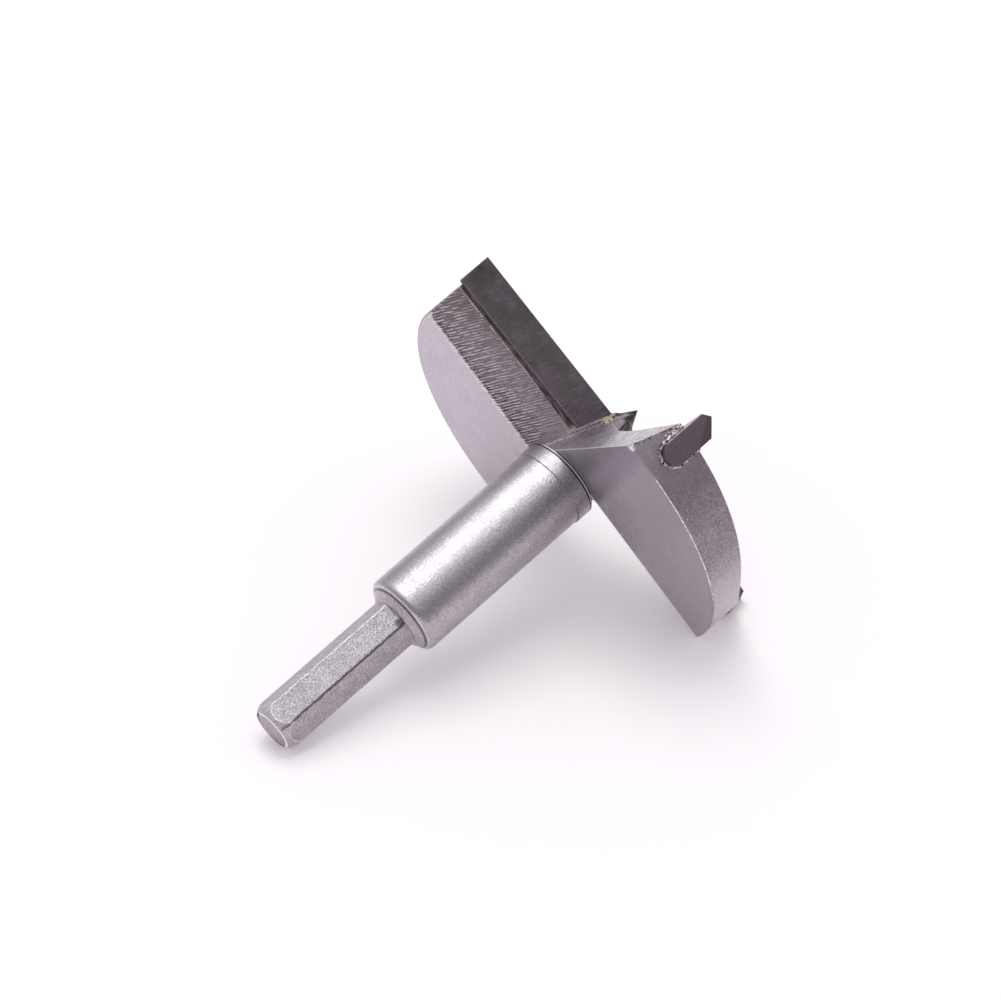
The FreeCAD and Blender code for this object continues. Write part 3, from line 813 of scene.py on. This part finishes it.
def makeCutter(name, node, halfTurn):
    # one carbide cutter, with its outer end ground back by one plane through its tip
    mesh = joined(node)
    turn = toolToFrame @ Matrix.Rotation(math.pi if halfTurn else 0.0, 4, "Z")
    tip = max(mesh.verts, key=lambda vertex: (turn.inverted() @ vertex.co).x)
    side = math.radians(endGrind["sideAngle"])
    up = Vector((0, hookSin, hookCos))
    behind = Vector((0, -hookCos, hookSin))
    outward = Vector((math.cos(side), 0, 0)) - up * math.sin(side)
    outward += behind * math.tan(math.radians(endGrind["relief"]))
    bmesh.ops.bisect_plane(
        mesh, geom=mesh.verts[:] + mesh.edges[:] + mesh.faces[:], plane_co=tip.co.copy(),
        plane_no=(turn.to_3x3() @ outward).normalized(), clear_outer=True)
    bmesh.ops.holes_fill(mesh, edges=[e for e in mesh.edges if e.is_boundary])
    data = bpy.data.meshes.new(name)
    mesh.to_mesh(data)
    mesh.free()
    data.materials.append(finishes["groundCarbide"])
    asPiece(data, name, node)


# Lumps of melted braze round the spurs
beadForm = {
    "voxel": 0.07,
    "lump": 0.2,  # how far the bead's surface swells and sinks, in millimetres
    "lumpScale": 1.5,
    "fineLump": 0.4,  # the share and the scale of the finer lumps on the larger ones
    "fineScale": 2.7,
    "smoothBelow": 0.15,  # the bead is smooth where it is further inside the rim than this
    "fade": 0.3,
    "drops": (  # place in the tool's coordinates and radius of each drop on the rim beside the spur
        ((2.62, 38.45, 6.5), 0.42), ((2.75, 38.4, 7.3), 0.36), ((2.5, 38.45, 7.9), 0.4),
        ((2.7, 38.35, 8.6), 0.34), ((2.45, 38.45, 9.2), 0.4), ((2.6, 38.3, 9.75), 0.33),
        ((-0.4, 38.9, 2.7), 0.36), ((-2.1, 38.8, 3.6), 0.3), ((1.7, 38.85, 3.6), 0.34),
    ),
}


def makeBead(name, node, halfTurn):
    # the braze round one spur, remeshed evenly and made lumpy where it stands clear of the rim
    mesh = joined(node)
    turn = Matrix.Rotation(math.pi if halfTurn else 0.0, 4, "Z")
    for place, radius in beadForm["drops"]:
        where = toolToFrame @ turn @ Matrix.Translation(place)
        bmesh.ops.create_icosphere(mesh, subdivisions=2, radius=radius, matrix=where)
    data = bpy.data.meshes.new(name + "Rough")
    mesh.to_mesh(data)
    mesh.free()
    rough = bpy.data.objects.new(name + "Rough", data)
    bpy.context.scene.collection.objects.link(rough)
    remesh = rough.modifiers.new("even", "REMESH")
    remesh.mode = "VOXEL"
    remesh.voxel_size = beadForm["voxel"] * bitPlace["unit"]
    even = bpy.data.meshes.new_from_object(rough.evaluated_get(bpy.context.evaluated_depsgraph_get()))
    bpy.data.objects.remove(rough)
    even.name = name
    mesh = bmesh.new()
    mesh.from_mesh(even)
    bmesh.ops.smooth_vert(
        mesh, verts=mesh.verts, factor=0.5, use_axis_x=True, use_axis_y=True, use_axis_z=True)
    mesh.normal_update()
    for vertex in mesh.verts:
        place = frameToTool @ vertex.co
        proud = math.hypot(place.x, place.y) - headForm["rimRadius"] + beadForm["smoothBelow"]
        clear = min(max(proud / beadForm["fade"], 0.0), 1.0)
        coarse = place * beadForm["lumpScale"]
        swell = noise.noise(coarse) + beadForm["fineLump"] * noise.noise(coarse * beadForm["fineScale"])
        vertex.co += vertex.normal * swell * clear * beadForm["lump"] * bitPlace["unit"]
    mesh.to_mesh(even)
    mesh.free()
    even.materials.clear()
    even.materials.append(finishes["spurBraze"])
    even.shade_smooth()
    asPiece(even, name, node)


makeBody()
makeCutter("cutterPlateA", "cutter_a", False)
makeCutter("cutterPlateB", "cutter_b", True)
makeBead("spurBeadA", "spur_braze_a", True)
makeBead("spurBeadB", "spur_braze_b", False)
print("body, cutters and beads finished")

nodeFinishes = {
    "spur_a": "spurCarbide", "spur_b": "spurCarbide",
    "cutter_braze_a": "cutterBraze", "cutter_braze_b": "cutterBraze",
}
for node, finishName in nodeFinishes.items():
    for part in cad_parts[node].material_slots:
        part.material = finishes[finishName]
print("spurs and cutter braze finished")

# Floor, lamp and surroundings
studio = {
    "floorSize": 12.0,
    "floorTone": (0.95, 0.953, 0.95, 1.0),
    "floorLift": 0.14,  # how much brighter the floor looks to the camera and in the metal
    "ambient": 0.74,
    "ambientTone": (1.0, 0.905, 0.98, 1.0),
    "keyPower": 3.25,
    "keySize": (0.46, 0.9),
    "keyPlace": (0.03, 0.19, 1.0),
    "wallRadius": 3.0,
    "wallSides": 48,
    "wallHeight": 3.6,
    "wallTone": (1.0, 0.97, 1.0, 1.0),
    "wallFoot": 0.3,  # how bright the dim studio looks in the metal, low on the near side
    "wallFootHeight": 0.3,
    "wallTop": 0.6,
    "farSide": 0.25,  # how much brighter it is on the far side
    "farFrom": -1.0,
}


def seenDirectly(look):
    # 1 for what the camera sees, also in a reflection or through glass, and 0 for light on the object
    path = look.add("ShaderNodeLightPath")
    seen = path.out("Is Camera Ray").math("MAXIMUM", path.out("Is Glossy Ray"))
    return seen.math("MAXIMUM", path.out("Is Transmission Ray"))


def standing(mesh, name, material):
    data = bpy.data.meshes.new(name)
    mesh.to_mesh(data)
    mesh.free()
    data.materials.append(material)
    thing = bpy.data.objects.new(name, data)
    bpy.context.scene.collection.objects.link(thing)
    return thing


def makeFloor():
    look = Finish("paleFloor")
    matt = look.add("ShaderNodeBsdfDiffuse", {}, {"Color": studio["floorTone"]})
    lift = look.add("ShaderNodeEmission", {}, {
        "Color": studio["floorTone"], "Strength": seenDirectly(look) * studio["floorLift"]})
    both = look.add("ShaderNodeAddShader", {}, {0: matt, 1: lift})
    look.add("ShaderNodeOutputMaterial", {}, {"Surface": both})
    mesh = bmesh.new()
    bmesh.ops.create_grid(mesh, x_segments=2, y_segments=2, size=studio["floorSize"] / 2)
    floor = standing(mesh, "floor", look.material)


def makeSurround():
    # the dim studio round the table, which only reflections see
    look = Finish("dimStudio")
    place = look.add("ShaderNodeSeparateXYZ", {}, {"Vector": look.add("ShaderNodeTexCoord").out("Object")})
    height = place.out("Z").smooth(studio["wallFootHeight"], studio["wallHeight"])
    far = place.out("Y").smooth(studio["farFrom"], studio["wallRadius"]) * studio["farSide"]
    glow = studio["wallFoot"] + height * (studio["wallTop"] - studio["wallFoot"]) + far * (1 + height)
    dull = look.add("ShaderNodeEmission", {}, {"Color": studio["wallTone"], "Strength": glow})
    look.add("ShaderNodeOutputMaterial", {}, {"Surface": dull})
    mesh = bmesh.new()
    bmesh.ops.create_circle(mesh, segments=studio["wallSides"], radius=studio["wallRadius"])
    rim = bmesh.ops.extrude_edge_only(mesh, edges=mesh.edges)
    top = [v for v in rim["geom"] if isinstance(v, bmesh.types.BMVert)]
    bmesh.ops.translate(mesh, verts=top, vec=(0, 0, studio["wallHeight"]))
    wall = standing(mesh, "surround", look.material)
    wall.visible_camera = False
    wall.visible_diffuse = False
    wall.visible_shadow = False


def makeLamp():
    data = bpy.data.lights.new("keyLamp", "AREA")
    data.energy = studio["keyPower"]
    data.shape = "RECTANGLE"
    data.size, data.size_y = studio["keySize"]
    lamp = bpy.data.objects.new("keyLamp", data)
    lamp.location = studio["keyPlace"]
    lamp.rotation_mode = "QUATERNION"
    lamp.rotation_quaternion = (-Vector(studio["keyPlace"])).to_track_quat("-Z", "Y")
    bpy.context.scene.collection.objects.link(lamp)


def makeWorld():
    world = bpy.data.worlds.new("paleRoom")
    look = Finish("paleRoom", world)
    seen = seenDirectly(look)
    strength = studio["ambient"] + seen * (1 - studio["ambient"])
    tone = look.blend(seen, studio["ambientTone"], white)
    sky = look.add("ShaderNodeBackground", {}, {"Color": tone, "Strength": strength})
    look.add("ShaderNodeOutputWorld", {}, {"Surface": sky})
    bpy.context.scene.world = world


# The photograph's viewing angle
photoCamera = {
    "place": (-0.398755, -0.477535, 0.513739),
    "turn": (52.2784, 0.4661, -40.8336),
    "lens": 158.24,
    "sensor": 36.0,
    "clip": (0.05, 50.0),
}


def makeCamera():
    data = bpy.data.cameras.new("photoCamera")
    data.lens = photoCamera["lens"]
    data.sensor_width = photoCamera["sensor"]
    data.clip_start, data.clip_end = photoCamera["clip"]
    camera = bpy.data.objects.new("photoCamera", data)
    camera.location = photoCamera["place"]
    camera.rotation_euler = [math.radians(a) for a in photoCamera["turn"]]
    bpy.context.scene.collection.objects.link(camera)
    bpy.context.scene.camera = camera


makeFloor()
makeLamp()
makeSurround()
makeWorld()
makeCamera()
bpy.context.scene.view_settings.view_transform = "Standard"
print("studio ready")
